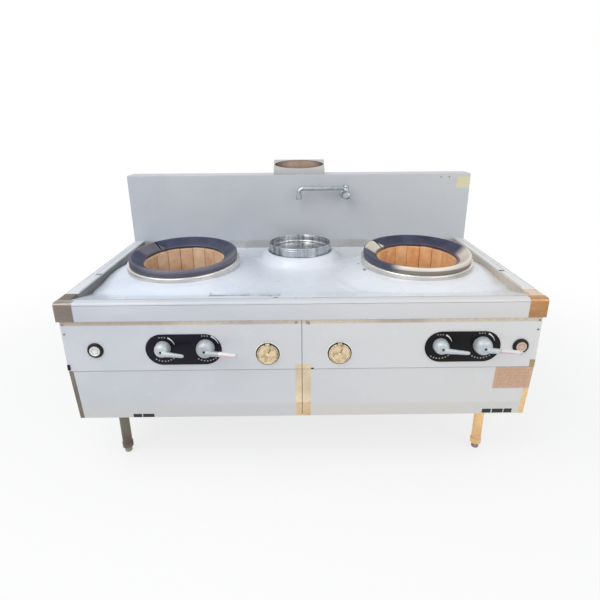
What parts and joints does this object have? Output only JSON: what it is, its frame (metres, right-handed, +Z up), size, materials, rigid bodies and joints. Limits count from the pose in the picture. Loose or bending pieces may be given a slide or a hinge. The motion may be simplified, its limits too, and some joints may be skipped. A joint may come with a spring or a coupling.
{
  "type": "wok range",
  "caption": "Free-standing commercial gas wok range: twin ring burners, centre water pan, backsplash with swing faucet and flue outlet, lever controls on a front panel.",
  "frame": {"origin": "middle of the floor area that the range covers, from the lever tips to the rear of the backsplash, at floor level", "axes": "+X is the cook's right, +Y runs from the front to the wall, +Z is up"},
  "size_m": [1.8, 1.068, 1.219],
  "materials": {
    "film_steel": "stainless sheet under its pale delivery film",
    "plain_steel": "bare stainless sheet",
    "frame_steel": "grey primer on welded steel",
    "leg_steel": "polished stainless tube",
    "foot_steel": "turned steel foot",
    "cast_iron": "machined grey casting",
    "collar_steel": "rolled stainless sheet",
    "fire_brick": "pressed fire clay",
    "machine_paint": "satin paint",
    "pan_steel": "drawn stainless steel",
    "plate_black": "black printed plate",
    "lever_metal": "satin plated casting",
    "brass": "machined brass",
    "pipe_steel": "galvanised pipe",
    "bezel_black": "black moulded bezel",
    "button_metal": "satin button cap",
    "port_rim": "dark rim",
    "cover_gold": "polished steel that mirrors warm light",
    "chrome": "polished chrome",
    "screw_steel": "zinc-plated screw"
  },
  "bodies": {
    "cabinet": {"deck": "film_steel", "front_rail": "film_steel", "side_rail_left": "film_steel", "side_rail_right": "film_steel", "splash_front": "film_steel", "splash_rear_cover": "plain_steel", "flue_outlet": "plain_steel", "flue_riser": "plain_steel", "flue_chamber": "plain_steel", "flue_ducts": "plain_steel", "upper_panel_left": "film_steel", "upper_panel_right": "film_steel", "lower_panel_left": "film_steel", "lower_panel_right": "film_steel", "side_panel_left": "film_steel", "side_panel_right": "film_steel", "back_panel": "plain_steel", "bottom_pan": "plain_steel", "frame_posts": "frame_steel", "frame_bars": "frame_steel", "legs": "leg_steel", "ring_collars": "collar_steel", "furnace_shell_left": "frame_steel", "furnace_shell_right": "frame_steel", "brick_ring_left": "fire_brick", "brick_ring_right": "fire_brick", "burners": "cast_iron", "air_pipes": "frame_steel", "blower_housing_left": "machine_paint", "blower_housing_right": "machine_paint", "blower_motors": "machine_paint", "control_plates": "plate_black", "gas_valves": "brass", "gas_manifold": "pipe_steel", "gas_feed_pipes": "pipe_steel", "button_bezels": "bezel_black", "port_rings": "port_rim", "faucet_body": "chrome", "water_pipe": "pipe_steel", "power_box": "machine_paint", "panel_screws": "screw_steel"},
    "pilot_lever_left": {"pilot_lever_left": "lever_metal"},
    "pilot_lever_right": {"pilot_lever_right": "lever_metal"},
    "main_lever_left": {"main_lever_left": "lever_metal"},
    "main_lever_right": {"main_lever_right": "lever_metal"},
    "button_left": {"button_left": "button_metal"},
    "button_right": {"button_right": "button_metal"},
    "port_cover_left": {"port_cover_left": "cover_gold"},
    "port_cover_right": {"port_cover_right": "cover_gold"},
    "faucet_spout": {"faucet_spout": "chrome"},
    "faucet_knob": {"faucet_knob": "chrome"},
    "water_pan": {"water_pan": "pan_steel"},
    "wok_ring_left": {"wok_ring_left": "cast_iron"},
    "wok_ring_right": {"wok_ring_right": "cast_iron"},
    "impeller_left": {"impeller_left": "plain_steel"},
    "impeller_right": {"impeller_right": "plain_steel"},
    "foot_left_front": {"foot_left_front": "foot_steel"},
    "foot_left_rear": {"foot_left_rear": "foot_steel"},
    "foot_right_front": {"foot_right_front": "foot_steel"},
    "foot_right_rear": {"foot_right_rear": "foot_steel"}
  },
  "joints": [
    {"name": "pilot_lever_left_turn", "type": "hinge", "parent": "cabinet", "child": "pilot_lever_left", "pos_m": [-0.518, -0.466, 0.618], "axis": [0, -1, 0], "range_deg": [0, 90]},
    {"name": "main_lever_left_turn", "type": "hinge", "parent": "cabinet", "child": "main_lever_left", "pos_m": [-0.359, -0.466, 0.618], "axis": [0, -1, 0], "range_deg": [0, 90]},
    {"name": "pilot_lever_right_turn", "type": "hinge", "parent": "cabinet", "child": "pilot_lever_right", "pos_m": [0.518, -0.466, 0.618], "axis": [0, -1, 0], "range_deg": [0, 90]},
    {"name": "main_lever_right_turn", "type": "hinge", "parent": "cabinet", "child": "main_lever_right", "pos_m": [0.674, -0.466, 0.618], "axis": [0, -1, 0], "range_deg": [0, 90]},
    {"name": "button_left_press", "type": "slide", "parent": "cabinet", "child": "button_left", "axis": [0, 1, 0], "range_m": [0, 0.004], "stiffness_N_per_m": 600, "springref_m": -0.002},
    {"name": "button_right_press", "type": "slide", "parent": "cabinet", "child": "button_right", "axis": [0, 1, 0], "range_m": [0, 0.004], "stiffness_N_per_m": 600, "springref_m": -0.002},
    {"name": "port_cover_left_swing", "type": "hinge", "parent": "cabinet", "child": "port_cover_left", "pos_m": [-0.129, -0.4696, 0.6275], "axis": [-1, 0, 0], "range_deg": [0, 100]},
    {"name": "port_cover_right_swing", "type": "hinge", "parent": "cabinet", "child": "port_cover_right", "pos_m": [0.142, -0.4696, 0.6275], "axis": [-1, 0, 0], "range_deg": [0, 100]},
    {"name": "faucet_spout_swing", "type": "hinge", "parent": "cabinet", "child": "faucet_spout", "pos_m": [0.24, 0.369, 1.084], "axis": [0, 0, 1], "range_deg": [0, 180]},
    {"name": "faucet_knob_turn", "type": "hinge", "parent": "cabinet", "child": "faucet_knob", "pos_m": [0.24, 0.334, 1.052], "axis": [0, -1, 0], "range_deg": [0, 180]},
    {"name": "water_pan_lift", "type": "slide", "parent": "cabinet", "child": "water_pan", "axis": [0, 0, 1], "range_m": [0, 0.15]},
    {"name": "wok_ring_left_lift", "type": "slide", "parent": "cabinet", "child": "wok_ring_left", "axis": [0, 0, 1], "range_m": [0, 0.12]},
    {"name": "wok_ring_right_lift", "type": "slide", "parent": "cabinet", "child": "wok_ring_right", "axis": [0, 0, 1], "range_m": [0, 0.12]},
    {"name": "impeller_left_spin", "type": "hinge", "parent": "cabinet", "child": "impeller_left", "pos_m": [-0.522, 0.319, 0.44], "axis": [1, 0, 0], "continuous": true},
    {"name": "impeller_right_spin", "type": "hinge", "parent": "cabinet", "child": "impeller_right", "pos_m": [0.522, 0.319, 0.44], "axis": [1, 0, 0], "continuous": true},
    {"name": "foot_left_front_turn", "type": "hinge", "parent": "cabinet", "child": "foot_left_front", "pos_m": [-0.79, -0.276, 0], "axis": [0, 0, 1], "continuous": true},
    {"name": "foot_left_rear_turn", "type": "hinge", "parent": "cabinet", "child": "foot_left_rear", "pos_m": [-0.79, 0.344, 0], "axis": [0, 0, 1], "continuous": true},
    {"name": "foot_right_front_turn", "type": "hinge", "parent": "cabinet", "child": "foot_right_front", "pos_m": [0.79, -0.276, 0], "axis": [0, 0, 1], "continuous": true},
    {"name": "foot_right_rear_turn", "type": "hinge", "parent": "cabinet", "child": "foot_right_rear", "pos_m": [0.79, 0.344, 0], "axis": [0, 0, 1], "continuous": true}
  ]
}
